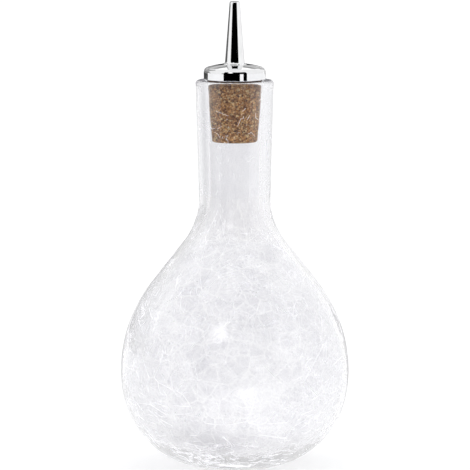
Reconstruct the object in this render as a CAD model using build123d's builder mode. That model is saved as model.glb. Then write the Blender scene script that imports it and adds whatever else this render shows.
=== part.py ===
from build123d import *
from math import atan, cos, degrees, radians, sin, sqrt, tan
import os

# Bitters bottle: a mouth-blown crackle glass bottle, and in its neck a tapered cork that
# carries a chromed dasher head with a slender pouring spout.
# The frame is in millimetres with +Z up. Its origin is on the axis, on the floor.

# Glass bottle, outside: radii, levels, and angles in degrees
bottle_height = 139.5
belly_radius = 41.2
belly_height = 34.2
shoulder_radius = 52.3
shoulder_angle = 38.0
flare_radius = 26.5
neck_radius = 12.9
neck_draft = 1.6
lip_round = 1.0
lower_turn = 18.0
foot_radius = 13.0
foot_slope = 6.0
foot_land = 2.0
punt_depth = 2.4

# Glass bottle, inside
body_wall = 1.7
bore_radius = 8.8
bore_flare_radius = 24.0
base_wall = 4.0
floor_radius = 14.0
floor_rise = 1.8
seat_depth = 6.0

# Cork stopper
cork_radius = 9.9
cork_taper = 4.6
cork_length = 22.2
cork_round = 0.9
cork_top_edge = 0.3
seat_gap = 0.05

# Dasher cap, which stands a little above the lip
cap_radius = 11.1
cap_rim_height = 2.7
cap_edge_radius = 1.65
cap_crown_angle = 16.6
cap_lower_edge = 0.25
lip_gap = 0.4

# Dasher spout, with a spigot that is pressed through the cap into the stem
spout_length = 22.4
spout_base_radius = 3.55
spout_tip_radius = 1.8
spout_fillet = 0.8
spout_foot_edge = 0.12
spout_tip_round = 0.35
spout_bore_radius = 1.5
drop_hole_radius = 0.8
drop_hole_length = 1.6
drop_hole_cone = 1.4
spigot_radius = 2.4
spigot_length = 6.5
press_gap = 0.02

# Barbed stem, which holds the head in the cork
stem_radius = 3.15
stem_edge = 0.25
barb_height = 0.6
barb_pitch = 3.2
barb_slope = 1.9
barb_land = 0.35
barb_start = 1.2
barb_count = 4
flange_radius = 4.7
flange_thickness = 0.8
stem_gap = 0.05


def arc_shift(radius, heading, turn):
    """How far out and up an arc ends from its start. The heading is in degrees above the
    outward direction, and an anticlockwise turn is positive."""
    side = 1 if turn > 0 else -1
    start, end = radians(heading), radians(heading + turn)
    return side * radius * (sin(end) - sin(start)), side * radius * (cos(start) - cos(end))


def bowl_radii(width, height, slope, turn):
    """Radii of two smooth arcs that cover a width and a height together: the first sets off
    at a slope, and the second makes the last turn to upright."""
    low_out, low_up = arc_shift(1, slope, 90 - slope - turn)
    high_out, high_up = arc_shift(1, 90 - turn, turn)
    scale = low_out * high_up - low_up * high_out
    low = (width * high_up - height * high_out) / scale
    high = (height * low_out - width * low_up) / scale
    return low, high


def push_up(radius, level, rise):
    """Smooth push-up in a floor, from the axis out to a radius."""
    turn = 2 * degrees(atan(rise / radius))
    bend = radius / (2 * sin(radians(turn)))
    crown = JernArc((0, level + rise), (1, 0), bend, -turn)
    return JernArc(crown @ 1, crown % 1, bend, turn)


def glass_line(start, slope, belly, shoulder, flare, neck, draft):
    """Smooth line up over the belly and shoulder to the neck. It returns the flare arc,
    which ends where the neck starts."""
    low, high = bowl_radii(belly - start.X, belly_height - start.Y, slope, lower_turn)
    heading = (cos(radians(slope)), sin(radians(slope)))
    base_arc = JernArc(start, heading, low, 90 - slope - lower_turn)
    side_arc = JernArc(base_arc @ 1, base_arc % 1, high, lower_turn)
    shoulder_arc = JernArc(side_arc @ 1, side_arc % 1, shoulder, shoulder_angle)
    flare_out, _ = arc_shift(flare, 90 + shoulder_angle, -shoulder_angle - draft)
    cone_width = (shoulder_arc @ 1).X + flare_out - neck
    cone_length = cone_width / sin(radians(shoulder_angle))
    cone = Line(shoulder_arc @ 1, shoulder_arc @ 1 + (shoulder_arc % 1) * cone_length)
    return JernArc(cone @ 1, cone % 1, flare, -shoulder_angle - draft)


def cork_radius_at(level):
    """Radius of the cork's tapered side at a level."""
    return cork_radius - (cap_bottom - level) * tan(radians(cork_taper))


os.makedirs("parts", exist_ok=True)

# Levels along the axis
cap_bottom = bottle_height + lip_gap
cork_bottom = cap_bottom - cork_length
flange_top = cap_bottom + flange_thickness
seat_bottom = bottle_height - seat_depth

# The bottle is one revolved wall: punt, foot ring, belly, neck, lip, cork seat and cavity.
with BuildPart() as bottle:
    with BuildSketch(Plane.XZ) as wall:
        with BuildLine():
            punt = push_up(foot_radius - foot_land, 0, punt_depth)
            foot = Line(punt @ 1, (foot_radius, 0))
            flare = glass_line(
                foot @ 1, foot_slope, belly_radius, shoulder_radius, flare_radius, neck_radius, neck_draft
            )
            neck_height = bottle_height - (flare @ 1).Y
            lip_radius = (flare @ 1).X + neck_height * tan(radians(neck_draft))
            lip = Line(flare @ 1, (lip_radius, bottle_height))
            mouth_radius = cork_radius_at(bottle_height) + seat_gap
            mouth = Line(lip @ 1, (mouth_radius, bottle_height))
            seat = Line(mouth @ 1, (cork_radius_at(seat_bottom) + seat_gap, seat_bottom))
            cavity_floor = push_up(floor_radius, base_wall, floor_rise)
            bore_flare = glass_line(
                cavity_floor @ 1, 0, belly_radius - body_wall, shoulder_radius - body_wall,
                bore_flare_radius, bore_radius, 0
            )
            Line(bore_flare @ 1, seat @ 1)
            Line((0, punt_depth), (0, base_wall + floor_rise))
        make_face()
        fillet(wall.vertices().group_by(Axis.Y)[-1], lip_round)
    revolve(axis=Axis.Z)
bottle.part.label = "bottle"
export_step(bottle.part, "parts/bottle.step")

# The cork is a tapered plug, drilled through for the stem.
cork_bottom_radius = cork_radius_at(cork_bottom)
with BuildPart() as cork_stopper:
    with BuildSketch(Plane.XZ) as cork_half:
        with BuildLine():
            Polyline(
                (0, cork_bottom),
                (cork_bottom_radius, cork_bottom),
                (cork_radius, cap_bottom),
                (0, cap_bottom),
                close=True,
            )
        make_face()
        cork_corners = cork_half.vertices().sort_by(Axis.X)
        fillet(cork_corners[-2], cork_round)
        chamfer(cork_corners[-1], cork_top_edge)
    revolve(axis=Axis.Z)
    with Locations((0, 0, cap_bottom)):
        Hole(stem_radius + barb_height + stem_gap, cork_length)
cork_stopper.part.label = "cork_stopper"
export_step(cork_stopper.part, "parts/cork_stopper.step")

# The cap is a turned disc: an upright rim, a rolled edge and a low crown.
with BuildPart() as dasher_cap:
    with BuildSketch(Plane.XZ):
        with BuildLine():
            rim = Line((cap_radius, cap_bottom), (cap_radius, cap_bottom + cap_rim_height))
            edge_arc = JernArc(rim @ 1, (0, 1), cap_edge_radius, 90 - cap_crown_angle)
            crown_radius = (edge_arc @ 1).X / sin(radians(cap_crown_angle))
            crown = JernArc(edge_arc @ 1, edge_arc % 1, crown_radius, cap_crown_angle)
            Polyline(crown @ 1, (0, cap_bottom), rim @ 0)
        make_face()
    revolve(axis=Axis.Z)
    chamfer(dasher_cap.edges().group_by(Axis.Z)[0], cap_lower_edge)
    crown_top = (crown @ 1).Y
    foot_rim_radius = spout_base_radius + spout_fillet
    spout_seat = crown_top - crown_radius + sqrt(crown_radius**2 - foot_rim_radius**2)
    with BuildSketch(Plane.XY.offset(spout_seat)):
        Circle(foot_rim_radius + press_gap)
    extrude(amount=crown_top - spout_seat, mode=Mode.SUBTRACT)
    with Locations(Location((0, 0, cap_bottom), (180, 0, 0))):
        CounterBoreHole(spigot_radius + press_gap, flange_radius + press_gap, flange_thickness)
dasher_cap.part.label = "dasher_cap"
export_step(dasher_cap.part, "parts/dasher_cap.step")

# The spout is a hollow cone with a small drop hole at its tip.
spout_tip = spout_seat + spout_length
spigot_bottom = flange_top - spigot_length
drop_hole_bottom = spout_tip - drop_hole_length
with BuildPart() as dasher_spout:
    with BuildSketch(Plane.XZ) as spout_wall:
        with BuildLine():
            Polyline(
                (spout_bore_radius, spigot_bottom),
                (spigot_radius, spigot_bottom),
                (spigot_radius, spout_seat),
                (foot_rim_radius, spout_seat),
                (foot_rim_radius, spout_seat + spout_foot_edge),
                (spout_base_radius, spout_seat + spout_foot_edge),
                (spout_tip_radius, spout_tip),
                (drop_hole_radius, spout_tip),
                (drop_hole_radius, drop_hole_bottom),
                (spout_bore_radius, drop_hole_bottom - drop_hole_cone),
                close=True,
            )
        make_face()
        fillet(spout_wall.vertices().group_by(Axis.Y)[-1].sort_by(Axis.X)[-1], spout_tip_round)
        foot_corners = spout_wall.vertices().filter_by_position(
            Axis.Y, spout_seat + spout_foot_edge / 2, spout_seat + spout_fillet
        )
        fillet(foot_corners.sort_by(Axis.X)[0], spout_fillet)
    revolve(axis=Axis.Z)
dasher_spout.part.label = "dasher_spout"
export_step(dasher_spout.part, "parts/dasher_spout.step")

# The stem's barbs point up, so they slide into the cork and grip on the way out.
barb_points = []
for step in range(barb_count):
    barb_bottom = cork_bottom + barb_start + step * barb_pitch
    barb_top = barb_bottom + barb_slope
    barb_points += [
        (stem_radius, barb_bottom),
        (stem_radius + barb_height, barb_top),
        (stem_radius + barb_height, barb_top + barb_land),
        (stem_radius, barb_top + barb_land),
    ]
with BuildPart() as barbed_stem:
    with BuildSketch(Plane.XZ):
        with BuildLine():
            Polyline(
                (0, cork_bottom),
                (stem_radius - stem_edge, cork_bottom),
                (stem_radius, cork_bottom + stem_edge),
                *barb_points,
                (stem_radius, cap_bottom),
                (flange_radius, cap_bottom),
                (flange_radius, flange_top),
                (0, flange_top),
                close=True,
            )
        make_face()
    revolve(axis=Axis.Z)
    with Locations((0, 0, flange_top)):
        CounterBoreHole(spout_bore_radius, spigot_radius + press_gap, spigot_length)
barbed_stem.part.label = "barbed_stem"
export_step(barbed_stem.part, "parts/barbed_stem.step")
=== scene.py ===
"""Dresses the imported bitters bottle: crackle glass, a cork, and a chromed dasher head."""

import logging
import math
import random
from dataclasses import dataclass
from enum import Enum

import bmesh
import bpy
from bmesh.types import BMesh, BMVert
from bpy.types import Material, Node, Object
from bpy.types import NodeSocket as Socket
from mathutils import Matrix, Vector, kdtree, noise


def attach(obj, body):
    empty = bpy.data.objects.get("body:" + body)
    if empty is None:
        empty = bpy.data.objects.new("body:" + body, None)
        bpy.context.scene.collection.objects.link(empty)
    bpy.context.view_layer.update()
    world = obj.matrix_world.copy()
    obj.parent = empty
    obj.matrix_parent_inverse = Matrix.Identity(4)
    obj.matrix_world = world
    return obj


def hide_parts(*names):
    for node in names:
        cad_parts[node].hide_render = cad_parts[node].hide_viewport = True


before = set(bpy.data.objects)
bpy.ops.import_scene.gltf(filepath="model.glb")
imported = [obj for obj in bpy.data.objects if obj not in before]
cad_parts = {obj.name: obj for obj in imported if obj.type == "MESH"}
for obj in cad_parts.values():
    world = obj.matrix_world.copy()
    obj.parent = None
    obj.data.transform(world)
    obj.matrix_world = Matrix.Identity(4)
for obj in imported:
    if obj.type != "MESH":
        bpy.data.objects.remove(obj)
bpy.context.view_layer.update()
MM = 0.001
WELD = 0.001 * MM
AXIS_FOOT = (0.0, 0.0, 0.0)
UP = (0.0, 0.0, 1.0)
WHITE = (1.0, 1.0, 1.0)
log = logging.getLogger("bitters_bottle")

Pair = tuple[float, float]
Colour = tuple[float, float, float]
Point = Vector | tuple[float, float, float]


class Body(str, Enum):
    """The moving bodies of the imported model."""

    BOTTLE = "bottle"
    CORK = "cork"
    HEAD = "dasher_head"


class Slot(str, Enum):
    """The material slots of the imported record."""

    GLASS = "crackle_glass"
    CORK = "cork"
    CHROME = "polished_chrome"
    STEEL = "turned_steel"


class NodeTree:
    """A thin helper that adds shader nodes and links them by name."""

    def __init__(self, tree: bpy.types.NodeTree) -> None:
        """Takes an empty tree."""
        self.tree = tree

    def add(self, kind: str, **inputs: object) -> Node:
        """Adds a node and sets its properties and input sockets.

        Args:
            kind: the node's type name after "ShaderNode".
            inputs: property names in lower case, socket names with spaces as underscores, or
                the letter i and a socket's number. A colour may leave out its alpha.

        Returns:
            The new node.
        """
        node = self.tree.nodes.new("ShaderNode" + kind)
        for name, value in inputs.items():
            if name.islower() and hasattr(node, name):
                setattr(node, name, value)
                continue
            numbered = name[0] == "i" and name[1:].isdigit()
            socket = node.inputs[int(name[1:]) if numbered else name.replace("_", " ")]
            if isinstance(value, Socket):
                self.tree.links.new(value, socket)
            elif socket.type == "RGBA" and len(value) == 3:
                socket.default_value = (*value, 1.0)
            else:
                socket.default_value = value
        return node

    def place(self) -> Socket:
        """The coordinates of the piece's own mesh."""
        return self.add("TexCoord").outputs["Object"]

    def rays(self, kind: str) -> Socket:
        """What the Light Path node says of a ray."""
        return self.add("LightPath").outputs[kind]

    def part(self, vector: Socket, axis: str) -> Socket:
        """One of a vector's three values."""
        return self.add("SeparateXYZ", Vector=vector).outputs[axis]

    def noise(self, place: Socket, scale: object, detail: float, **more: float) -> Socket:
        """The value of a noise texture."""
        return self.add("TexNoise", Vector=place, Scale=scale, Detail=detail, **more).outputs["Fac"]

    def math(self, operation: str, first: object, second: object) -> Socket:
        """The result of a Math node."""
        return self.add("Math", operation=operation, i0=first, i1=second).outputs[0]

    def vector(self, operation: str, first: object, **more: object) -> Socket:
        """The result of a Vector Math node, which is a value or a vector."""
        node = self.add("VectorMath", operation=operation, i0=first, **more)
        return node.outputs["Value" if operation in ("DOT_PRODUCT", "LENGTH", "DISTANCE") else "Vector"]

    def span(
        self, value: Socket, low: float, high: object, to_low: float = 0.0, to_high: float = 1.0
    ) -> Socket:
        """A value that is mapped from one range to another, and clamped."""
        ends = {"From_Min": low, "From_Max": high, "To_Min": to_low, "To_Max": to_high}
        return self.add("MapRange", Value=value, **ends).outputs[0]

    def bump(self, height: Socket, strength: object, distance: float) -> Socket:
        """The normal of a surface that a height raises."""
        return self.add("Bump", Strength=strength, Distance=distance, Height=height).outputs[0]

    def ramp(self, value: Socket, stops: dict[float, Colour]) -> Socket:
        """Adds a colour ramp.

        Args:
            value: the factor's socket.
            stops: position to colour, at least two.

        Returns:
            The colour's socket.
        """
        node = self.add("ValToRGB", Fac=value)
        elements = node.color_ramp.elements
        for index, (place, colour) in enumerate(sorted(stops.items())):
            element = elements[index] if index < 2 else elements.new(place)
            element.position = place
            element.color = (*colour, 1.0)
        return node.outputs["Color"]

    def blend(self, share: object, first: object, second: object, way: str = "MIX") -> Socket:
        """Two colours, blended."""
        return self.add("MixRGB", blend_type=way, Fac=share, Color1=first, Color2=second).outputs[0]

    def mix(self, share: Socket, first: Node, second: Node) -> Node:
        """Two shaders, mixed."""
        return self.add("MixShader", Fac=share, i1=first.outputs[0], i2=second.outputs[0])


def effect_group(
    name: str, values_in: tuple[str, ...], values_out: tuple[str, ...]
) -> tuple[NodeTree, Node, Node]:
    """Makes an empty node group for an effect that depends on the place.

    Args:
        name: the group's name.
        values_in: the names of its inputs after Vector.
        values_out: the names of its outputs.

    Returns:
        Its tree's helper, the node of its inputs and the node of its outputs.
    """
    group = bpy.data.node_groups.new(name, "ShaderNodeTree")
    group.interface.new_socket("Vector", in_out="INPUT", socket_type="NodeSocketVector")
    for way, names in (("INPUT", values_in), ("OUTPUT", values_out)):
        for socket in names:
            group.interface.new_socket(socket, in_out=way, socket_type="NodeSocketFloat")
    return NodeTree(group), group.nodes.new("NodeGroupInput"), group.nodes.new("NodeGroupOutput")


def crackle_group() -> bpy.types.NodeTree:
    """Builds the node group of angular cells, used for the fine crackle in the glass.

    Returns:
        A group with inputs Vector, Density and Width and outputs Cell (a random share for
        each cell), Line (1 on a crack) and Tilt (a height that leans each cell its own way).
    """
    tree, entry, result = effect_group("angular_cells", ("Density", "Width"), ("Cell", "Line", "Tilt"))
    start, density = entry.outputs["Vector"], entry.outputs["Density"]
    middle = (0.5, 0.5, 0.5)
    bend = tree.add("TexNoise", Vector=start, Scale=density, Detail=2.0).outputs["Color"]
    sway = tree.vector(
        "SCALE", tree.vector("SUBTRACT", bend, i1=middle), Scale=tree.math("DIVIDE", 0.5, density)
    )
    place = tree.vector("ADD", start, i1=sway)
    edge = tree.add("TexVoronoi", feature="DISTANCE_TO_EDGE", Vector=place, Scale=density)
    cell = tree.add("TexVoronoi", feature="F1", Vector=place, Scale=density).outputs
    lean = tree.vector("SUBTRACT", cell["Color"], i1=middle)
    offset = tree.vector("SUBTRACT", place, i1=cell["Position"])
    outcome = {
        "Cell": tree.add("SeparateColor", Color=cell["Color"]).outputs[0],
        "Line": tree.span(edge.outputs["Distance"], 0.0, entry.outputs["Width"], 1.0, 0.0),
        "Tilt": tree.vector("DOT_PRODUCT", lean, i1=offset),
    }
    for name, socket in outcome.items():
        tree.tree.links.new(socket, result.inputs[name])
    return tree.tree


def wear_group() -> bpy.types.NodeTree:
    """Builds the node group of hairline scratches and handling haze on polished metal.

    Returns:
        A group with inputs Vector and Density and outputs Haze and Height.
    """
    tree, entry, result = effect_group("handling_wear", ("Density",), ("Haze", "Height"))
    place, density = entry.outputs["Vector"], entry.outputs["Density"]
    drawn = tree.vector("MULTIPLY", place, i1=(1.0, 1.0, 14.0))
    tree.tree.links.new(tree.noise(place, density, 4.0), result.inputs["Haze"])
    tree.tree.links.new(tree.noise(drawn, density, 6.0, Roughness=0.7), result.inputs["Height"])
    return tree.tree


class Finish:
    """A finish, which has a material's name and lays out its shaders."""

    name: str

    def shaders(self, tree: NodeTree) -> dict[str, Node]:
        """Lays out the nodes and gives the shader for each of the material's outputs."""
        raise NotImplementedError

    def build(self) -> Material:
        """Builds the material.

        Returns:
            The finished material.
        """
        material = bpy.data.materials.new(self.name)
        material.use_nodes = True
        material.node_tree.nodes.clear()
        tree = NodeTree(material.node_tree)
        tree.add("OutputMaterial", **{name: node.outputs[0] for name, node in self.shaders(tree).items()})
        return material


@dataclass(frozen=True)
class CrackleGlass(Finish):
    """Clear glass with a fine crackle, a little uneven from blowing. Places are in metres."""

    cells: bpy.types.NodeTree
    name: str = "crackle_glass"
    fine: Pair = (420.0, 0.08)
    coarse: Pair = (170.0, 0.06)
    patches: float = 60.0
    patch_levels: Pair = (0.42, 0.62)
    clouds: float = 28.0
    cloud_tone: float = 0.3
    turned: Pair = (0.25, 0.65)
    neck: Pair = (0.084, 0.104)
    drawn: Pair = (0.088, 0.14)
    draw: float = -0.036
    neck_lines: float = 0.3
    neck_tone: float = 0.5
    neck_ripple: float = 0.18
    roughness: float = 0.012
    ior: float = 1.5
    absorption: float = 12.0
    tint: Colour = (0.47, 0.46, 0.5)
    shadow: Colour = (0.975, 0.975, 0.98)
    deep: Colour = (0.864, 0.860, 0.880)
    pale: Colour = (0.952, 0.949, 0.960)
    # Paler tint at the silhouette: a painted edge highlight.
    rim: Colour = (0.985, 0.985, 0.992)
    # Painted glow: past this many glossy bounces the glass glows, less near the base, for light the bounce
    # limit cuts off.
    bounces: float = 3.5
    trapped_glow_rise: Pair = (0.024, 0.042)
    trapped_glow_low: float = 0.38
    trapped_glow: float = 0.52
    ripple: float = 0.052

    def shaders(self, tree: NodeTree) -> dict[str, Node]:
        """Lays out the glass with its painted glow, its clear shadow and its absorption.

        Args:
            tree: the material's tree.

        Returns:
            The surface and the volume.
        """
        level = tree.part(tree.place(), "Z")
        neck = tree.span(level, *self.neck)
        drawn = tree.add("CombineXYZ", Z=tree.span(level, *self.drawn, 0.0, self.draw))
        place = tree.vector("ADD", tree.place(), i1=drawn.outputs[0])
        fine, coarse = (
            tree.add("Group", node_tree=self.cells, Vector=place, Density=density, Width=width).outputs
            for density, width in (self.fine, self.coarse)
        )
        patchy = tree.span(tree.noise(place, self.patches, 2.0), *self.patch_levels)
        lines = tree.math("MAXIMUM", tree.math("MULTIPLY", fine["Line"], patchy), coarse["Line"])
        lines = tree.math("MULTIPLY", lines, tree.span(neck, 0.0, 1.0, 1.0, self.neck_lines))
        tone = tree.math("MULTIPLY", coarse["Cell"], 0.6)
        tone = tree.math("ADD", tone, tree.math("MULTIPLY", fine["Cell"], 0.4))
        tone = tree.math("MULTIPLY", tone, tree.span(neck, 0.0, 1.0, 1.0, 1.0 - self.neck_tone))
        tone = tree.math("ADD", tone, tree.span(neck, 0.0, 1.0, 0.0, self.neck_tone))
        cloud = tree.noise(place, self.clouds, 2.0)
        tone = tree.math("ADD", tone, tree.span(cloud, 0.3, 0.7, -self.cloud_tone, self.cloud_tone))
        # Painted edge highlight: the tint turns towards the rim colour where the surface turns away from
        # view.
        edge = tree.span(tree.add("LayerWeight", Blend=0.5).outputs["Facing"], *self.turned)
        tint = tree.blend(edge, tree.ramp(tone, {0.15: self.deep, 0.85: self.pale}), self.rim)
        height = tree.math("ADD", coarse["Tilt"], tree.math("MULTIPLY", fine["Tilt"], 0.5))
        strength = tree.span(neck, 0.0, 1.0, self.ripple, self.ripple * self.neck_ripple)
        # Painted glow on rays that pass the last glossy bounce, weaker near the base.
        last = tree.math("GREATER_THAN", tree.rays("Glossy Depth"), self.bounces)
        painted_glow = tree.span(level, *self.trapped_glow_rise, self.trapped_glow_low, self.trapped_glow)
        glass = tree.add(
            "BsdfPrincipled", Base_Color=tree.blend(lines, tint, WHITE), Roughness=self.roughness,
            IOR=self.ior, Transmission_Weight=1.0, Normal=tree.bump(height, strength, 1.0),
            Emission_Color=WHITE, Emission_Strength=tree.math("MULTIPLY", last, painted_glow),
        )
        clear = tree.add("BsdfTransparent", Color=self.shadow)
        return {
            "Surface": tree.mix(tree.rays("Is Shadow Ray"), glass, clear),
            "Volume": tree.add("VolumeAbsorption", Color=self.tint, Density=self.absorption),
        }


@dataclass(frozen=True)
class CrackSheets(Finish):
    """The faces of the cracks inside the wall, pale, with a painted glow for the light that they catch."""

    name: str = "crack_faces"
    colour: Colour = (0.80, 0.80, 0.81)
    shade: Colour = (0.76, 0.76, 0.79)
    grain: float = 700.0
    roughness: float = 0.22
    # Painted glow: the faces glow though they are no lamp, for the light that cracks catch.
    glow: float = 0.54

    def shaders(self, tree: NodeTree) -> dict[str, Node]:
        """Lays out a pale face with a painted glow.

        Args:
            tree: the material's tree.

        Returns:
            The surface.
        """
        cloud = tree.noise(tree.place(), self.grain, 2.0)
        pale = tree.ramp(cloud, {0.3: self.shade, 0.6: self.colour})
        rough = tree.span(cloud, 0.3, 0.7, self.roughness, self.roughness * 2)
        return {
            "Surface": tree.add(
                "BsdfPrincipled", Base_Color=pale, Roughness=rough, IOR=1.5, Emission_Color=pale,
                Emission_Strength=self.glow,
            )
        }


@dataclass(frozen=True)
class AgglomerateCork(Finish):
    """Pressed cork granules, mottled brown, with pores and dark bark specks."""

    name: str = "agglomerate_cork"
    granules: float = 1650.0
    grain: float = 1900.0
    specks: float = 1700.0
    sway: float = 900.0
    shift: float = 0.0012
    seam: Colour = (0.16, 0.075, 0.035)
    bark: Colour = (0.10, 0.045, 0.02)
    # The top band of painted shade, as if the lip and the cap shade it.
    shaded_top: Pair = (0.129, 0.1398)
    uneven: float = 0.0016

    def shaders(self, tree: NodeTree) -> dict[str, Node]:
        """Lays out the granules, their seams, the grain, the specks and a painted shade along the top.

        Args:
            tree: the material's tree.

        Returns:
            The surface.
        """
        place = tree.place()
        sway = tree.add("TexNoise", Vector=place, Scale=self.sway, Detail=3.0).outputs["Color"]
        bent = tree.vector("MULTIPLY_ADD", sway, i1=(self.shift,) * 3, i2=place)
        cells, joints = (
            tree.add("TexVoronoi", feature=feature, Vector=bent, Scale=self.granules).outputs
            for feature in ("F1", "DISTANCE_TO_EDGE")
        )
        browns = tree.ramp(
            tree.add("SeparateColor", Color=cells["Color"]).outputs[0],
            {
                0.0: (0.12, 0.036, 0.008), 0.3: (0.45, 0.185, 0.044), 0.7: (0.82, 0.425, 0.145),
                1.0: (1.0, 0.76, 0.38),
            },
        )
        grain = tree.noise(place, self.grain, 5.0, Roughness=0.7)
        shade = tree.ramp(grain, {0.40: (0.15, 0.10, 0.07), 0.58: WHITE})
        colour = tree.blend(0.8, browns, shade, "MULTIPLY")
        seam = tree.span(joints["Distance"], 0.0, 0.06, 0.75, 0.0)
        specks = tree.noise(place, self.specks, 4.0)
        dark = tree.span(specks, 0.62, 0.70, 0.0, 0.8)
        colour = tree.blend(dark, tree.blend(seam, colour, self.seam), self.bark)
        level = tree.math("ADD", tree.part(place, "Z"), tree.math("MULTIPLY", specks, self.uneven))
        # Painted shade: darker towards the top, where the lip and the cap would shade it.
        top_shade = tree.ramp(
            tree.span(level, *self.shaded_top),
            {0.3: WHITE, 0.8: (0.80, 0.79, 0.78), 0.9: (0.64, 0.62, 0.60), 1.0: (0.30, 0.26, 0.22)},
        )
        height = tree.math("SUBTRACT", grain, tree.math("MULTIPLY", seam, 0.8))
        height = tree.math("SUBTRACT", height, dark)
        return {
            "Surface": tree.add(
                "BsdfPrincipled", Base_Color=tree.blend(1.0, colour, top_shade, "MULTIPLY"),
                Roughness=tree.span(grain, 0.3, 0.7, 0.72, 0.92),
                Normal=tree.bump(height, 0.5, 0.0003),
            )
        }


@dataclass(frozen=True)
class PolishedMetal(Finish):
    """Plated or turned metal with a light handling haze, and painted shade at its foot. In metres."""

    name: str
    wear: bpy.types.NodeTree
    colour: Colour
    worn: Colour
    smooth: float
    hazy: float
    bump: float
    foot: float = 0.0
    # Painted shade: a dark line just above the foot, where the gap under the cap is in shadow.
    gap_shade_levels: Pair = (0.0002, 0.0005)
    gap_shade: Colour = (0.05, 0.047, 0.045)
    uneven: float = 0.0003
    density: float = 300.0
    worn_levels: Pair = (0.35, 0.75)
    scratch: float = 0.00002

    def shaders(self, tree: NodeTree) -> dict[str, Node]:
        """Lays out the metal with its haze and the painted shade at its foot.

        Args:
            tree: the material's tree.

        Returns:
            The surface.
        """
        place = tree.place()
        wear = tree.add("Group", node_tree=self.wear, Vector=place, Density=self.density).outputs
        clean, worn = self.worn_levels
        tint = tree.ramp(wear["Haze"], {clean: self.colour, worn: self.worn})
        level = tree.math("ADD", tree.part(place, "Z"), tree.math("MULTIPLY", wear["Haze"], self.uneven))
        # Painted shade along the foot, for the shadow in the gap below it.
        gap_shade = tree.span(level, *(self.foot + rise for rise in self.gap_shade_levels), 0.9, 0.0)
        return {
            "Surface": tree.add(
                "BsdfPrincipled", Base_Color=tree.blend(gap_shade, tint, self.gap_shade), Metallic=1.0,
                Roughness=tree.span(wear["Haze"], clean, worn, self.smooth, self.hazy),
                Normal=tree.bump(wear["Height"], self.bump, self.scratch),
            )
        }


def along(value: float, start: float, length: float) -> float:
    """How far a value is along a stretch, from 0 to 1."""
    return min(1.0, max(0.0, (value - start) / length))


def tangent(degrees: float) -> float:
    """The tangent of an angle in degrees."""
    return math.tan(math.radians(degrees))


def sweep(
    mesh: BMesh, parts: list, angle: float, steps: int, centre: Point = AXIS_FOOT,
    axis: Point = UP, merge: bool = False,
) -> list:
    """Spins parts of a mesh.

    Args:
        mesh: the mesh.
        parts: its points and edges that are spun.
        angle: in radians.
        steps: how many stretches the turn has.
        centre: a point on the axis.
        axis: the axis that they turn about.
        merge: whether a full turn closes on itself.

    Returns:
        The parts at the end of the turn.
    """
    made = bmesh.ops.spin(
        mesh, geom=parts, cent=centre, axis=axis, dvec=(0.0, 0.0, 0.0), angle=angle, steps=steps,
        use_merge=merge, use_normal_flip=False, use_duplicate=False,
    )
    return made["geom_last"]


class ProfilePen:
    """Draws a half outline in the plane of X (outwards) and Z (up), as a chain of edges.

    Lengths are in millimetres, and the heading is in degrees above the outward direction.
    """

    def __init__(self, out: float, up: float) -> None:
        """Starts at a point, heading outwards.

        Args:
            out: its distance from the axis.
            up: its level.
        """
        self.mesh = bmesh.new()
        self.tip = self.mesh.verts.new((out * MM, 0.0, up * MM))
        self.heading = 0.0

    @property
    def out(self) -> float:
        """The tip's distance from the axis."""
        return self.tip.co.x / MM

    @property
    def up(self) -> float:
        """The tip's level."""
        return self.tip.co.z / MM

    def line(self, out: float, up: float, steps: int = 1) -> "ProfilePen":
        """Draws a straight stretch to a point.

        Args:
            out: the end's distance from the axis.
            up: the end's level.
            steps: how many edges the stretch has.

        Returns:
            The pen.
        """
        start = self.tip.co.copy()
        end = Vector((out * MM, 0.0, up * MM))
        for step in range(1, steps + 1):
            made = bmesh.ops.extrude_vert_indiv(self.mesh, verts=[self.tip])
            self.tip = made["verts"][0]
            self.tip.co = start.lerp(end, step / steps)
        self.heading = math.degrees(math.atan2(end.z - start.z, end.x - start.x))
        return self

    def lines(self, *points: tuple[float, ...]) -> "ProfilePen":
        """Draws straight stretches.

        Args:
            points: the distance out, the level and, if it isn't 1, the number of edges of each.

        Returns:
            The pen.
        """
        for point in points:
            self.line(*point)
        return self

    def arc(self, radius: float, turn: float, steps: int, heading: float | None = None) -> "ProfilePen":
        """Draws an arc.

        Args:
            radius: the arc's radius.
            turn: in degrees, anticlockwise positive.
            steps: how many edges the arc has.
            heading: the direction that it leaves along, if not the pen's own.

        Returns:
            The pen.
        """
        self.heading = self.heading if heading is None else heading
        side = 1.0 if turn > 0 else -1.0
        angle = math.radians(self.heading)
        centre = self.tip.co + Vector((-math.sin(angle), 0.0, math.cos(angle))) * side * radius * MM
        last = sweep(self.mesh, [self.tip], math.radians(turn), steps, centre, (0.0, -1.0, 0.0))
        self.tip = next(item for item in last if isinstance(item, BMVert))
        self.heading += turn
        return self

    def revolve(self, steps: int) -> BMesh:
        """Spins the outline once round the axis and closes its poles.

        Args:
            steps: how many stretches a full turn has.

        Returns:
            The mesh, with its faces pointing outwards.
        """
        mesh = self.mesh
        sweep(mesh, mesh.verts[:] + mesh.edges[:], math.tau, steps, merge=True)
        bmesh.ops.remove_doubles(mesh, verts=mesh.verts[:], dist=WELD)
        bmesh.ops.recalc_face_normals(mesh, faces=mesh.faces[:])
        mesh.normal_update()
        return mesh


def settle(mesh: BMesh) -> None:
    """Puts a mesh's points, edges and faces in the same order in every run.

    Args:
        mesh: it is reordered in place.
    """
    for rank, vert in enumerate(sorted(mesh.verts, key=lambda vert: tuple(vert.co))):
        vert.index = rank
    mesh.verts.sort()
    for parts in (mesh.edges, mesh.faces):
        ordered = sorted(parts, key=lambda part: sorted(vert.index for vert in part.verts))
        for rank, part in enumerate(ordered):
            part.index = rank
        parts.sort()


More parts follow.
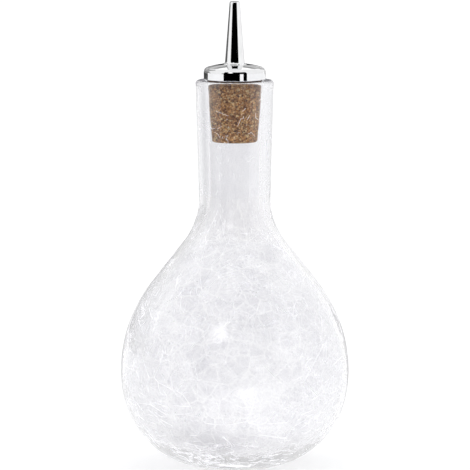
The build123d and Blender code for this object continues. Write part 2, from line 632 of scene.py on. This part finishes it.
def mesh_data(mesh: BMesh, name: str) -> bpy.types.Mesh:
    """Turns a bmesh into mesh data and frees it.

    Args:
        mesh: the shape.
        name: the data's name.

    Returns:
        The data.
    """
    data = bpy.data.meshes.new(name)
    mesh.to_mesh(data)
    mesh.free()
    return data


def scene_object(name: str, data: bpy.types.ID) -> Object:
    """Puts a new object into the scene.

    Args:
        name: its name.
        data: its mesh, lamp or camera.

    Returns:
        The object.
    """
    item = bpy.data.objects.new(name, data)
    bpy.context.scene.collection.objects.link(item)
    return item


def finish_piece(
    mesh: BMesh, name: str, material: Material, body: Body,
    node: str | None = None, sharp: float | None = 35.0,
) -> Object:
    """Turns a bmesh into a finished piece that rides on its body.

    Args:
        mesh: the piece's shape, in metres, in the frame. It is freed.
        name: the piece's name.
        material: its material.
        body: the body that it moves with.
        node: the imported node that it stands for, if any.
        sharp: edges that turn by more degrees than this stay sharp, or None for flat faces.

    Returns:
        The new object.
    """
    data = mesh_data(mesh, name)
    data.materials.append(material)
    if sharp is not None:
        data.shade_smooth()
        data.set_sharp_from_angle(angle=math.radians(sharp))
    piece = scene_object(name, data)
    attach(piece, body.value)
    if node:
        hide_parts(node)
    log.info("%s: %d faces on %s", name, len(data.polygons), body.value)
    return piece


@dataclass
class GlassBottle:
    """The blown bottle: sizes in millimetres and degrees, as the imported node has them.

    A wave has the shift of its noise, and a steady share that keeps the outside within its line.
    It is calm near the foot and the lip, and nearly so on the neck.
    """

    height: float = 139.5
    belly: float = 41.2
    belly_up: float = 34.2
    shoulder: float = 52.3
    shoulder_turn: float = 38.0
    flare: float = 26.5
    neck: float = 12.9
    draft: float = 1.6
    lip_round: float = 1.0
    lower_turn: float = 18.0
    foot: float = 13.0
    foot_slope: float = 6.0
    foot_land: float = 2.0
    punt: float = 2.4
    wall: float = 1.7
    bore: float = 8.8
    bore_flare: float = 24.0
    floor: float = 14.0
    floor_up: float = 4.0
    floor_rise: float = 1.8
    seat_depth: float = 6.0
    seat_top: float = 9.918
    seat_foot: float = 9.435
    rounds: int = 180
    wave: float = 0.16
    wave_size: float = 16.0
    outside_wave: Pair = (3.0, -0.9)
    inside_wave: Pair = (11.0, 0.0)
    finer: float = 2.3
    finer_share: float = 0.5
    calm_foot: Pair = (3.0, 8.0)
    calm_lip: float = 12.0
    calm_neck: Pair = (84.0, 18.0)
    calm: float = 0.92

    @staticmethod
    def shift(radius: float, heading: float, turn: float) -> Pair:
        """How far out and up an arc ends from its start.

        Args:
            radius: the arc's radius.
            heading: its first direction, in degrees above the outward one.
            turn: in degrees, anticlockwise positive.

        Returns:
            The distances out and up.
        """
        side = 1.0 if turn > 0 else -1.0
        start, end = math.radians(heading), math.radians(heading + turn)
        out = side * radius * (math.sin(end) - math.sin(start))
        return out, side * radius * (math.cos(start) - math.cos(end))

    def side(
        self, pen: ProfilePen, belly: float, shoulder: float, flare: float, neck: float, draft: float,
        steps: int,
    ) -> None:
        """Draws two smooth arcs to the widest ring, then the shoulder, the cone and the neck's flare.

        Args:
            pen: it stands on the bottom ring, along its first slope.
            belly: the widest ring's radius.
            shoulder: the shoulder arc's radius.
            flare: the flare arc's radius.
            neck: the neck's radius at its foot.
            draft: how far the neck leans out, in degrees.
            steps: how many edges each half of the line has.
        """
        width, height = belly - pen.out, self.belly_up - pen.up
        low_turn = 90.0 - pen.heading - self.lower_turn
        low_out, low_up = self.shift(1.0, pen.heading, low_turn)
        high_out, high_up = self.shift(1.0, 90.0 - self.lower_turn, self.lower_turn)
        scale = low_out * high_up - low_up * high_out
        pen.arc((width * high_up - height * high_out) / scale, low_turn, round(steps * 0.7))
        pen.arc((height * low_out - width * low_up) / scale, self.lower_turn, round(steps * 0.3))
        pen.arc(shoulder, self.shoulder_turn, round(steps * 0.4))
        flare_out, _ = self.shift(flare, pen.heading, -self.shoulder_turn - draft)
        length = (pen.out + flare_out - neck) / math.sin(math.radians(self.shoulder_turn))
        way = math.radians(pen.heading)
        pen.line(pen.out + length * math.cos(way), pen.up + length * math.sin(way), round(steps * 0.3))
        pen.arc(flare, -self.shoulder_turn - draft, round(steps * 0.3))

    @staticmethod
    def push_up(radius: float, level: float, rise: float) -> ProfilePen:
        """Starts a pen on the axis and draws a smooth push-up.

        Args:
            radius: how far out the push-up ends.
            level: its level there.
            rise: how much higher it is on the axis.

        Returns:
            The pen, level and heading outwards.
        """
        turn = 2 * math.degrees(math.atan(rise / radius))
        bend = radius / (2 * math.sin(math.radians(turn)))
        return ProfilePen(0.0, level + rise).arc(bend, -turn, 8).arc(bend, turn, 8)

    def outer(self, pen: ProfilePen, steps: int) -> float:
        """Draws the outside from the foot ring to the neck's foot.

        Args:
            pen: it stands on the foot ring's outer edge, or near it.
            steps: how many edges each half of the line has.

        Returns:
            The radius that the neck has at the lip.
        """
        pen.heading = self.foot_slope
        self.side(pen, self.belly, self.shoulder, self.flare, self.neck, self.draft, steps)
        return pen.out + (self.height - pen.up) * tangent(self.draft)

    def swell(self, place: Vector, wave: Pair) -> float:
        """How far the blown surface leaves its true line at a point.

        Args:
            place: the point, in metres.
            wave: the outside's wave or the inside's.

        Returns:
            The distance outwards, in metres.
        """
        seed, bias = wave
        level = place.z / MM
        ease = along(level, *self.calm_foot) * along(self.height - self.calm_lip - level, 0.0, self.calm_lip)
        ease *= 1.0 - self.calm * along(level, *self.calm_neck)
        scaled = place / (self.wave_size * MM)
        broad = noise.noise(scaled + Vector((seed, 0.0, 0.0)))
        small = self.finer_share * noise.noise(scaled * self.finer + Vector((0.0, seed, 0.0)))
        return (broad + small + bias) * self.wave * ease * MM

    def build(self, material: Material) -> None:
        """Builds the closed wall, outside and inside.

        Args:
            material: the glass.
        """
        pen = self.push_up(self.foot - self.foot_land, 0.0, self.punt).line(self.foot, 0.0, 2)
        lip = self.outer(pen, 60)
        pen.line(lip - self.lip_round * tangent(self.draft), self.height - self.lip_round, 24)
        pen.arc(self.lip_round, 90.0, 7, 90.0)
        pen.line(self.seat_top + self.lip_round, self.height, 2)
        pen.arc(self.lip_round, 90.0, 7, 180.0)
        pen.line(self.seat_foot, self.height - self.seat_depth, 6)
        inside = self.push_up(self.floor, self.floor_up, self.floor_rise)
        self.side(
            inside, self.belly - self.wall, self.shoulder - self.wall, self.bore_flare, self.bore, 0.0, 60
        )
        inside.line(pen.out, pen.up, 22)
        inner = mesh_data(inside.mesh, "inside_line")
        pen.mesh.from_mesh(inner)
        bpy.data.meshes.remove(inner)
        bmesh.ops.remove_doubles(pen.mesh, verts=pen.mesh.verts[:], dist=WELD)
        mesh = pen.revolve(self.rounds)
        for vert in mesh.verts:
            outside = vert.normal.dot(Vector((vert.co.x, vert.co.y, 0.0))) > 0.0
            vert.co += vert.normal * self.swell(vert.co, self.outside_wave if outside else self.inside_wave)
        finish_piece(mesh, "glass_bottle", material, Body.BOTTLE, "bottle", 60.0)


@dataclass(frozen=True)
class CrackSize:
    """One size of crack: its cells, the share that is kept, and its sheets, in millimetres."""

    name: str
    cell: float
    kept: float
    top: float
    depth: float
    lean: float


@dataclass
class CrackNet:
    """The net of cracks inside the wall, as thin sheets that run in from near the surface.

    Sizes and levels are in millimetres, except tall and flat, which are in metres. The sparse
    levels and the tall one have a start and a length.
    """

    bottle: GlassBottle
    grid: float = 1.25
    rounds: int = 200
    seed: int = 7
    thickness: float = 0.04
    kink: float = 24.0
    below_lip: float = 1.6
    stray: float = 0.42
    join: float = 0.72
    crowd: float = 0.8
    patch: float = 13.0
    squeeze: float = 0.6
    tall: Pair = (0.088, 0.022)
    flat: float = 0.03
    sparse_neck: Pair = (86.0, 14.0)
    sparse_cork: Pair = (108.0, 6.0)
    sparse_base: Pair = (26.0, 20.0)
    lean_size: float = 4.5
    depth_size: float = 3.0
    sizes: tuple[CrackSize, ...] = (
        CrackSize("main_cracks", 6.5, 0.58, 0.16, 0.68, 0.15),
        CrackSize("branch_cracks", 3.2, 0.46, 0.18, 0.48, 0.13),
        CrackSize("fine_cracks", 1.8, 0.20, 0.20, 0.34, 0.12),
    )

    def skin(self) -> BMesh:
        """Makes an open skin of uneven triangles on the bottle's outside.

        Returns:
            The skin, which keeps the outward direction at each point.
        """
        pen = ProfilePen(self.bottle.foot + 1.0, 0.15)
        lip = self.bottle.outer(pen, 58)
        end = self.bottle.height - self.below_lip
        steps = round((end - pen.up) / self.grid)
        pen.line(lip - self.below_lip * tangent(self.bottle.draft), end, steps)
        mesh = pen.revolve(self.rounds)
        settle(mesh)
        layer = mesh.verts.layers.float_vector.new("way_out")
        mesh.normal_update()
        chance = random.Random(self.seed)
        step = self.grid * MM
        for vert in mesh.verts:
            out = vert.normal.copy()
            if out.dot(Vector((vert.co.x, vert.co.y, 0.0))) < 0.0:
                out.negate()
            vert[layer] = out
            sway = Vector([chance.uniform(-self.stray, self.stray) * step for _ in range(3)])
            swell = self.bottle.swell(vert.co, self.bottle.outside_wave)
            vert.co += out * swell + sway - out * sway.dot(out)
        bmesh.ops.remove_doubles(mesh, verts=mesh.verts[:], dist=self.join * step)
        bmesh.ops.triangulate(mesh, faces=mesh.faces[:])
        settle(mesh)
        return mesh

    def centres(self, mesh: BMesh, rank: int) -> kdtree.KDTree:
        """Scatters cell centres over the skin, about one cell apart.

        Args:
            mesh: the skin.
            rank: the place of the cells' size in the list.

        Returns:
            A search tree of the centres.
        """
        size = self.sizes[rank].cell
        area = sum(face.calc_area() for face in mesh.faces) / MM**2
        count = int(area / (self.crowd * size * size))
        verts = mesh.verts[:]
        weights = [sum(face.calc_area() for face in vert.link_faces) for vert in verts]
        chance = random.Random(self.seed + 5 * rank)
        tree = kdtree.KDTree(count)
        for index, vert in enumerate(chance.choices(verts, weights=weights, k=count)):
            tree.insert(self.squeezed(vert.co), index)
        tree.balance()
        return tree

    def squeezed(self, place: Vector) -> Vector:
        """Moves levels, so that cells are tall at the neck's foot and flat near the base.

        Args:
            place: a point, in metres.

        Returns:
            The point that the cells are drawn at.
        """
        start, length = self.tall
        neck = min(length, max(0.0, place.z - start))
        base = max(0.0, self.flat - place.z)
        return Vector((place.x, place.y, place.z - (self.squeeze * neck + self.squeeze * base)))

    def share_at(self, place: Vector, rank: int) -> float:
        """The share of cracks that are kept at a place.

        Args:
            place: a point on the skin.
            rank: the place of the cracks' size in the list.

        Returns:
            The share, which the patches can carry past 0 or 1.
        """
        level = place.z / MM
        neck, cork = along(level, *self.sparse_neck), along(level, *self.sparse_cork)
        start, length = self.sparse_base
        base = along(start - level, 0.0, length)
        sparse = 0.6 + 0.15 * rank
        share = self.sizes[rank].kept * (1.0 - sparse * neck - 0.25 * cork - 0.7 * base)
        return share + sparse * noise.noise(place / (self.patch * MM) + Vector((rank * 9.0, 0.0, 0.0)))

    def lines(self, mesh: BMesh, rank: int) -> None:
        """Leaves only the edges of a skin that are cracks of one size, and smooths them.

        Args:
            mesh: the skin.
            rank: the place of the cracks' size in the list.
        """
        chance = random.Random(self.seed + rank * 31)
        trees = [self.centres(mesh, index) for index in range(rank + 1)]
        labels = {}
        for face in mesh.faces:
            place = self.squeezed(face.calc_center_median())
            labels[face] = tuple(tree.find(place)[1] for tree in trees)
        lucky: dict[tuple[int, int], bool] = {}
        surplus = []
        for edge in mesh.edges:
            keep = False
            if len(edge.link_faces) == 2:
                first, second = (labels[face] for face in edge.link_faces)
                if first[:rank] == second[:rank] and first[rank] != second[rank]:
                    pair = (min(first[rank], second[rank]), max(first[rank], second[rank]))
                    if pair not in lucky:
                        middle = (edge.verts[0].co + edge.verts[1].co) / 2
                        lucky[pair] = chance.random() < self.share_at(middle, rank)
                    keep = lucky[pair]
            if not keep:
                surplus.append(edge)
        bmesh.ops.delete(mesh, geom=surplus, context="EDGES")
        bmesh.ops.delete(mesh, geom=mesh.faces[:], context="FACES_ONLY")
        loose = [vert for vert in mesh.verts if not vert.link_edges]
        bmesh.ops.delete(mesh, geom=loose, context="VERTS")
        settle(mesh)
        for _ in range(2):
            bmesh.ops.smooth_vert(
                mesh, verts=mesh.verts[:], factor=0.5, use_axis_x=True, use_axis_y=True, use_axis_z=True
            )
        bmesh.ops.dissolve_limit(
            mesh, angle_limit=math.radians(self.kink), use_dissolve_boundaries=False, verts=mesh.verts[:],
            edges=mesh.edges[:], delimit=set(),
        )
        settle(mesh)

    def raise_sheets(self, mesh: BMesh, rank: int) -> None:
        """Draws the crack lines inwards into leaning sheets and gives them their thickness.

        Args:
            mesh: the crack lines, on the skin.
            rank: the place of the cracks' size in the list.
        """
        size = self.sizes[rank]
        layer = mesh.verts.layers.float_vector["way_out"]
        for vert in mesh.verts:
            vert.co -= vert[layer] * size.top * MM
        made = bmesh.ops.extrude_edge_only(mesh, edges=mesh.edges[:])
        for vert in [item for item in made["geom"] if isinstance(item, BMVert)]:
            out = vert[layer]
            place = vert.co / (self.lean_size * MM) + Vector((rank * 7.0, 3.0, 0.0))
            lean = Vector([noise.noise(place + Vector((0.0, 0.0, 17.0 * axis))) for axis in range(3)])
            lean -= out * lean.dot(out)
            deep = size.depth * (0.7 + 0.6 * abs(noise.noise(vert.co / (self.depth_size * MM))))
            vert.co += (-out * deep + lean * size.lean * 2.0 * deep) * MM
        bmesh.ops.split_edges(mesh, edges=mesh.edges[:])
        mesh.normal_update()
        for face in mesh.faces:
            if face.normal.x < 0.0:
                face.normal_flip()
        bmesh.ops.solidify(mesh, geom=mesh.faces[:], thickness=self.thickness * MM)
        bmesh.ops.recalc_face_normals(mesh, faces=mesh.faces[:])

    def build(self, material: Material) -> None:
        """Builds the net, one piece for each size of crack.

        Args:
            material: the crack faces.
        """
        for rank, size in enumerate(self.sizes):
            mesh = self.skin()
            self.lines(mesh, rank)
            self.raise_sheets(mesh, rank)
            piece = finish_piece(mesh, size.name, material, Body.BOTTLE, None, None)
            piece.visible_shadow = False


@dataclass
class CorkStopper:
    """The tapered cork, with the pores and chipped granules of its cut surface, in millimetres."""

    low: Pair = (8.114, 117.7)
    high: Pair = (9.9, 139.9)
    bore: float = 3.8
    rounding: float = 0.9
    edge: float = 0.3
    rounds: int = 150
    pore: float = 0.22
    pore_size: float = 0.8
    chip_size: float = 2.3
    chip_share: float = 0.6
    smooth_bore: float = 0.2
    smooth_top: float = 0.05
    bite_from: float = 0.35
    bite_full: float = 0.3

    def build(self, material: Material) -> None:
        """Builds the cork.

        Args:
            material: its material.
        """
        (low, foot), (high, top) = self.low, self.high
        slope = math.atan2(top - foot, high - low)
        pen = ProfilePen(self.bore, foot)
        pen.line(low - self.rounding * math.tan(slope / 2), foot, 10)
        pen.arc(self.rounding, math.degrees(slope), 7)
        pen.lines(
            (high - self.edge * math.cos(slope), top - self.edge, 56), (high - self.edge, top),
            (self.bore, top, 6), (self.bore, foot, 20),
        )
        mesh = pen.revolve(self.rounds)
        for vert in mesh.verts:
            radius = math.hypot(vert.co.x, vert.co.y) / MM
            if radius < self.bore + self.smooth_bore or vert.co.z / MM > top - self.smooth_top:
                continue
            bite = noise.noise(vert.co / (self.pore_size * MM))
            bite += self.chip_share * noise.noise(vert.co / (self.chip_size * MM))
            vert.co -= vert.normal * along(bite, self.bite_from, self.bite_full) * self.pore * MM
        finish_piece(mesh, "cork_stopper_piece", material, Body.CORK, "cork_stopper", 60.0)


@dataclass
class DasherHead:
    """The metal head, in millimetres: cap, spout and the barbed stem in the cork."""

    cap_low: float = 139.9
    cap: float = 11.1
    rim: float = 2.7
    cap_edge: float = 1.65
    crown_turn: float = 16.6
    cap_foot: float = 0.25
    flange: float = 4.7
    flange_up: float = 0.8
    spout_length: float = 22.4
    spout_base: float = 3.55
    spout_tip: float = 1.8
    fillet: float = 0.8
    foot_edge: float = 0.12
    tip_round: float = 0.35
    bore: float = 1.5
    drop_hole: float = 0.8
    drop_length: float = 1.6
    drop_cone: float = 1.4
    spigot: float = 2.4
    spigot_length: float = 6.5
    press_gap: float = 0.02
    stem: float = 3.15
    stem_low: float = 117.7
    stem_edge: float = 0.25
    barb: float = 0.6
    barb_pitch: float = 3.2
    barb_slope: float = 1.9
    barb_land: float = 0.35
    barb_start: float = 1.2
    barbs: int = 4
    rounds: int = 128
    fine_rounds: int = 96

    def crown(self) -> Pair:
        """Works out the crown.

        Returns:
            Its radius of curvature, and the level that the spout is seated at.
        """
        turn = math.radians(90.0 - self.crown_turn)
        rim_out = self.cap - self.cap_edge * (1.0 - math.cos(turn))
        radius = rim_out / math.sin(math.radians(self.crown_turn))
        top = self.cap_low + self.rim + self.cap_edge * math.sin(turn)
        top += radius * (1.0 - math.cos(math.radians(self.crown_turn)))
        foot = self.spout_base + self.fillet
        return radius, top - radius + math.sqrt(radius**2 - foot**2)

    def build_cap(self, material: Material) -> None:
        """Builds the cap: an upright rim, a rolled edge, a low crown and a seat for the spout.

        Args:
            material: its material.
        """
        radius, seat = self.crown()
        foot = self.spout_base + self.fillet + self.press_gap
        recess, socket = self.flange + self.press_gap, self.spigot + self.press_gap
        flange_top = self.cap_low + self.flange_up
        pen = ProfilePen(recess, self.cap_low).lines(
            (self.cap - self.cap_foot, self.cap_low, 4), (self.cap, self.cap_low + self.cap_foot),
            (self.cap, self.cap_low + self.rim, 4),
        )
        pen.arc(self.cap_edge, 90.0 - self.crown_turn, 10)
        pen.arc(radius, self.crown_turn - math.degrees(math.asin(foot / radius)), 16)
        pen.lines(
            (foot, seat), (socket, seat), (socket, flange_top), (recess, flange_top), (recess, self.cap_low)
        )
        mesh = pen.revolve(self.rounds)
        finish_piece(mesh, "dasher_cap_piece", material, Body.HEAD, "dasher_cap")

    def build_spout(self, material: Material) -> None:
        """Builds the spout: a hollow cone with a foot fillet, a rounded tip and a drop hole.

        Args:
            material: its material.
        """
        _, seat = self.crown()
        tip = seat + self.spout_length
        low = self.cap_low + self.flange_up - self.spigot_length
        hole_low = tip - self.drop_length
        lean = math.degrees(math.atan2(self.spout_base - self.spout_tip, self.spout_length - self.foot_edge))
        foot = self.spout_base + self.fillet
        reach = self.fillet * tangent((90.0 - lean) / 2)
        pen = ProfilePen(self.bore, low).lines(
            (self.spigot, low), (self.spigot, seat), (foot, seat), (foot, seat + self.foot_edge),
            (self.spout_base + reach, seat + self.foot_edge),
        )
        pen.arc(self.fillet, -(90.0 - lean), 10, 180.0)
        pen.line(self.spout_tip + self.tip_round * tangent(lean), tip - self.tip_round, 12)
        pen.arc(self.tip_round, 90.0 - lean, 7, 90.0 + lean)
        pen.lines(
            (self.drop_hole, pen.up), (self.drop_hole, hole_low, 2),
            (self.bore, hole_low - self.drop_cone, 2), (self.bore, low, 4),
        )
        mesh = pen.revolve(self.fine_rounds)
        finish_piece(mesh, "dasher_spout_piece", material, Body.HEAD, "dasher_spout")

    def build_stem(self, material: Material) -> None:
        """Builds the stem: its flange, its socket for the spigot and its ring barbs.

        Args:
            material: its material.
        """
        top = self.cap_low + self.flange_up
        socket, socket_low = self.spigot + self.press_gap, top - self.spigot_length
        pen = ProfilePen(self.bore, self.stem_low)
        pen.line(self.stem - self.stem_edge, self.stem_low)
        pen.line(self.stem, self.stem_low + self.stem_edge)
        for step in range(self.barbs):
            low = self.stem_low + self.barb_start + step * self.barb_pitch
            high = low + self.barb_slope
            pen.lines(
                (self.stem, low), (self.stem + self.barb, high, 2),
                (self.stem + self.barb, high + self.barb_land), (self.stem, high + self.barb_land),
            )
        pen.lines(
            (self.stem, self.cap_low), (self.flange, self.cap_low), (self.flange, top), (socket, top),
            (socket, socket_low), (self.bore, socket_low), (self.bore, self.stem_low, 4),
        )
        mesh = pen.revolve(self.fine_rounds)
        finish_piece(mesh, "barbed_stem_piece", material, Body.HEAD, "barbed_stem")


def seen_white(tree: NodeTree) -> Socket:
    """A factor of 1 for camera, mirror and glass rays, and 0 for the others."""
    seen = tree.math("MAXIMUM", tree.rays("Is Camera Ray"), tree.rays("Is Glossy Ray"))
    return tree.math("MAXIMUM", seen, tree.rays("Is Transmission Ray"))


DIM_LEFT = (-0.5, -0.06, -0.18, 0.0)
NOT_FAR_LEFT = (-0.9, -0.65)
BRIGHT_RIGHT = (0.06, 0.5, 0.0, 0.04)


def side_light(tree: NodeTree, way: Socket) -> Socket:
    """Lays out the light that glass rays find more, or less, to the sides of the bottle.

    Args:
        tree: the tree of the world or the floor.
        way: the direction from the bottle.

    Returns:
        What is added to a strength of 1: less on the left, except far out, and more on the right.
    """
    across = tree.part(way, "X")
    left = tree.math("MULTIPLY", tree.span(across, *DIM_LEFT), tree.span(across, *NOT_FAR_LEFT))
    both = tree.math("ADD", left, tree.span(across, *BRIGHT_RIGHT))
    return tree.math("MULTIPLY", both, tree.rays("Is Transmission Ray"))


@dataclass(frozen=True)
class WhiteFloor(Finish):
    """White to look at, and keeps a soft shadow.

    For glass rays it is dimmer far out, keeps painted light close to the bottle, and a painted shadow on its
    right.
    """

    name: str = "white_floor"
    paint: Colour = (0.72, 0.72, 0.72)
    glow: float = 0.40
    reach: Pair = (0.1, 0.7)
    right: Pair = (0.01, 0.12)
    painted_shadow: float = -0.1
    dim_far: float = -0.085

    def shaders(self, tree: NodeTree) -> dict[str, Node]:
        """Lays out the paint, and the glow that makes it white to look at.

        Args:
            tree: the material's tree.

        Returns:
            The surface.
        """
        place = tree.place()
        reach = tree.vector("LENGTH", place)
        # For glass rays: a painted shadow close to the bottle on its right, and painted light close by,
        # since only far out is dimmed.
        right = tree.span(tree.part(place, "X"), *self.right, 0.0, self.painted_shadow)
        dim = tree.math("MULTIPLY", tree.span(reach, *self.reach, 1.0, 0.0), right)
        dim = tree.math("ADD", dim, tree.span(reach, *self.reach, 0.0, self.dim_far))
        level = tree.math("ADD", self.glow, tree.math("MULTIPLY", tree.rays("Is Transmission Ray"), dim))
        level = tree.math("ADD", level, side_light(tree, tree.vector("NORMALIZE", place)))
        glow = tree.add("Emission", Color=WHITE, Strength=level)
        matt = tree.add("BsdfDiffuse", Color=self.paint)
        both = tree.add("AddShader", i0=matt.outputs[0], i1=glow.outputs[0])
        return {"Surface": tree.mix(seen_white(tree), matt, both)}


@dataclass(frozen=True)
class Screen(Finish):
    """A curved card round the bottle: degrees right of the camera's side, and metres.

    It is upright, unless its upper edge has another radius. Glass rays see it only if they
    pass through it, and then it fades out towards its edges.
    """

    name: str
    start: float
    end: float
    low: float
    high: float
    tone: float = 0.0
    radius: float = 1.2
    through: bool = False
    upper_radius: float | None = None

    @staticmethod
    def at(degrees: float, radius: float, level: float) -> Vector:
        """A point round the bottle."""
        angle = math.radians(degrees - 90.0)
        return Vector((math.cos(angle), math.sin(angle), 0.0)) * radius + Vector((0.0, 0.0, level))

    def shaders(self, tree: NodeTree) -> dict[str, Node]:
        """Lays out the card's glow.

        Args:
            tree: the material's tree.

        Returns:
            The surface.
        """
        glow = tree.add("Emission", Color=WHITE, Strength=self.tone)
        if not self.through:
            return {"Surface": glow}
        centre = self.at((self.start + self.end) / 2, self.radius, (self.low + self.high) / 2)
        away = tree.vector("DISTANCE", tree.place(), i1=tuple(centre))
        reach = (self.high - self.low) / 2
        fade = tree.span(away, reach * 0.35, reach)
        return {"Surface": tree.mix(fade, glow, tree.add("BsdfTransparent"))}

    def stand(self) -> None:
        """Stands the card where only reflections see it."""
        mesh = bmesh.new()
        upper_radius = self.radius if self.upper_radius is None else self.upper_radius
        ends = [
            mesh.verts.new(self.at(self.start, self.radius, self.low)),
            mesh.verts.new(self.at(self.start, upper_radius, self.high)),
        ]
        sweep(mesh, [*ends, mesh.edges.new(ends)], math.radians(self.end - self.start), 12)
        data = mesh_data(mesh, self.name)
        data.materials.append(self.build())
        card = scene_object(self.name, data)
        card.visible_camera = card.visible_diffuse = card.visible_shadow = False
        card.visible_transmission = self.through


@dataclass(frozen=True)
class Lamp:
    """A wide, distant lamp: the way its light comes from, watts per square metre, and degrees."""

    name: str
    place: Point
    strength: float
    spread: float

    def hang(self) -> None:
        """Hangs the lamp, which lights the whole floor alike and isn't mirrored."""
        data = bpy.data.lights.new(self.name, "SUN")
        data.energy = self.strength
        data.angle = math.radians(self.spread)
        lamp = scene_object(self.name, data)
        lamp.visible_glossy = lamp.visible_transmission = False
        lamp.location = self.place
        lamp.rotation_euler = Vector(self.place).to_track_quat("Z", "Y").to_euler()


@dataclass
class Studio:
    """The floor, the light, the cards and the camera. Distances are in metres."""

    distance: float = 1.5
    camera_up: float = 0.2764
    aim_up: float = 0.0836
    aim_out: float = 0.0001
    lens: float = 321.8
    sensor: float = 36.0
    floor_size: float = 6.0
    light: Colour = (0.97, 0.98, 1.0)
    light_level: float = 0.55
    screens: tuple[Screen, ...] = (
        Screen("front_left", -42.0, 19.3, 0.0, 1.3),
        Screen("front_slit", 19.3, 32.6, 0.19, 1.3),
        Screen("front_right", 32.6, 46.5, 0.0, 1.3),
        Screen("front_floor", -42.0, 46.5, 0.001, 0.001, 0.1, upper_radius=0.3),
        Screen("soft_window", -27.0, -7.0, 0.52, 1.04, 2.8, 1.1, True),
        Screen("left_flag_foot", -177.0, -129.0, 0.0, 0.03, 0.75),
        Screen("cap_flag", -177.0, -119.0, 0.03, 0.056, 0.06),
        Screen("spout_flag", -150.0, -102.0, 0.10, 0.24, 0.12),
        Screen("spout_shade", -50.0, -42.0, 0.15, 0.35),
        Screen("left_flag_edge", -177.0, -150.0, 0.056, 0.42, 0.38),
        Screen("left_flag_low", -150.0, -119.0, 0.056, 0.10, 0.38),
        Screen("left_flag", -150.0, -111.0, 0.24, 0.42, 0.38),
        Screen("left_flag_high", -150.0, -116.0, 0.42, 1.5, 0.42),
        Screen("right_flag_foot", 157.0, 177.0, 0.0, 0.03, 0.9),
        Screen("cap_flag_right", 157.0, 177.0, 0.03, 0.038, 0.64),
        Screen("right_flag", 157.0, 177.0, 0.038, 0.16, 0.82),
        Screen("right_flag_high", 150.0, 177.0, 0.16, 0.42, 0.78),
        Screen("left_floor", -177.0, -150.0, 0.001, 0.001, 0.5, 0.8, upper_radius=0.05),
        Screen("left_floor_far", -177.0, -150.0, 0.001, 0.001, 0.8, upper_radius=0.8),
        Screen("right_floor", 150.0, 177.0, 0.001, 0.001, 0.48, 0.8, upper_radius=0.05),
        Screen("right_floor_far", 150.0, 177.0, 0.001, 0.001, 0.9, upper_radius=0.8),
        Screen("back_band", 150.0, 210.0, 0.03, 0.46, 0.02, 1.25),
        Screen("back_grey", 150.0, 210.0, 0.46, 0.68, 0.60, 1.25),
        Screen("back_line", 150.0, 210.0, 0.68, 0.84, 0.34, 1.25),
        Screen("back_bright", 150.0, 210.0, 0.84, 1.20, 1.25, 1.25),
    )
    lamps: tuple[Lamp, ...] = (
        Lamp("key", (0.75, -0.75, 0.9), 0.9, 30.0),
        Lamp("fill", (-0.7, -0.8, 0.6), 0.4, 40.0),
        Lamp("top", (0.0, 0.2, 1.1), 0.5, 40.0),
    )

    def build_world(self) -> None:
        """Lights the scene plainly from all round, and makes the surroundings white to look at."""
        world = bpy.data.worlds.new("studio")
        world.use_nodes = True
        world.node_tree.nodes.clear()
        tree = NodeTree(world.node_tree)
        light = tree.add("Background", Color=self.light, Strength=self.light_level)
        way = tree.add("TexCoord").outputs["Generated"]
        level = tree.math("ADD", 1.0, side_light(tree, way))
        white = tree.add("Background", Color=WHITE, Strength=level)
        tree.add("OutputWorld", Surface=tree.mix(seen_white(tree), light, white).outputs[0])
        bpy.context.scene.world = world

    def build_floor(self) -> None:
        """Lays the white floor, which keeps a soft shadow."""
        mesh = bmesh.new()
        bmesh.ops.create_grid(mesh, x_segments=1, y_segments=1, size=self.floor_size / 2)
        data = mesh_data(mesh, "floor")
        data.materials.append(WhiteFloor().build())
        sheet = scene_object("floor", data)

    def build_camera(self) -> None:
        """Places the camera at the photograph's angle."""
        data = bpy.data.cameras.new("camera")
        data.lens = self.lens
        data.sensor_width = self.sensor
        data.clip_start, data.clip_end = 0.01, 20.0
        camera = scene_object("camera", data)
        camera.location = (self.aim_out, -self.distance, self.camera_up)
        way = Vector((self.aim_out, 0.0, self.aim_up)) - camera.location
        camera.rotation_euler = way.to_track_quat("-Z", "Y").to_euler()
        bpy.context.scene.camera = camera

    def build(self) -> None:
        """Builds the whole studio."""
        bpy.context.scene.view_settings.view_transform = "Standard"
        self.build_camera()
        self.build_world()
        self.build_floor()
        for screen in self.screens:
            screen.stand()
        for lamp in self.lamps:
            lamp.hang()


def main() -> None:
    """Builds the studio and dresses every piece."""
    logging.basicConfig(level=logging.INFO, format="%(message)s")
    Studio().build()
    cells = crackle_group()
    wear = wear_group()
    chrome = PolishedMetal(
        "polished_chrome", wear, (0.87, 0.873, 0.88), (0.80, 0.803, 0.81), 0.02, 0.06, 0.02, 0.1398
    )
    bright = PolishedMetal("spout_chrome", wear, (0.92, 0.923, 0.93), (0.86, 0.863, 0.87), 0.02, 0.06, 0.02)
    steel = PolishedMetal("turned_steel", wear, (0.66, 0.66, 0.67), (0.52, 0.52, 0.53), 0.22, 0.36, 0.3)
    bottle = GlassBottle()
    bottle.build(CrackleGlass(cells).build())
    CrackNet(bottle).build(CrackSheets().build())
    CorkStopper().build(AgglomerateCork().build())
    head = DasherHead()
    head.build_cap(chrome.build())
    head.build_spout(bright.build())
    head.build_stem(steel.build())


if __name__ == "__main__":
    main()
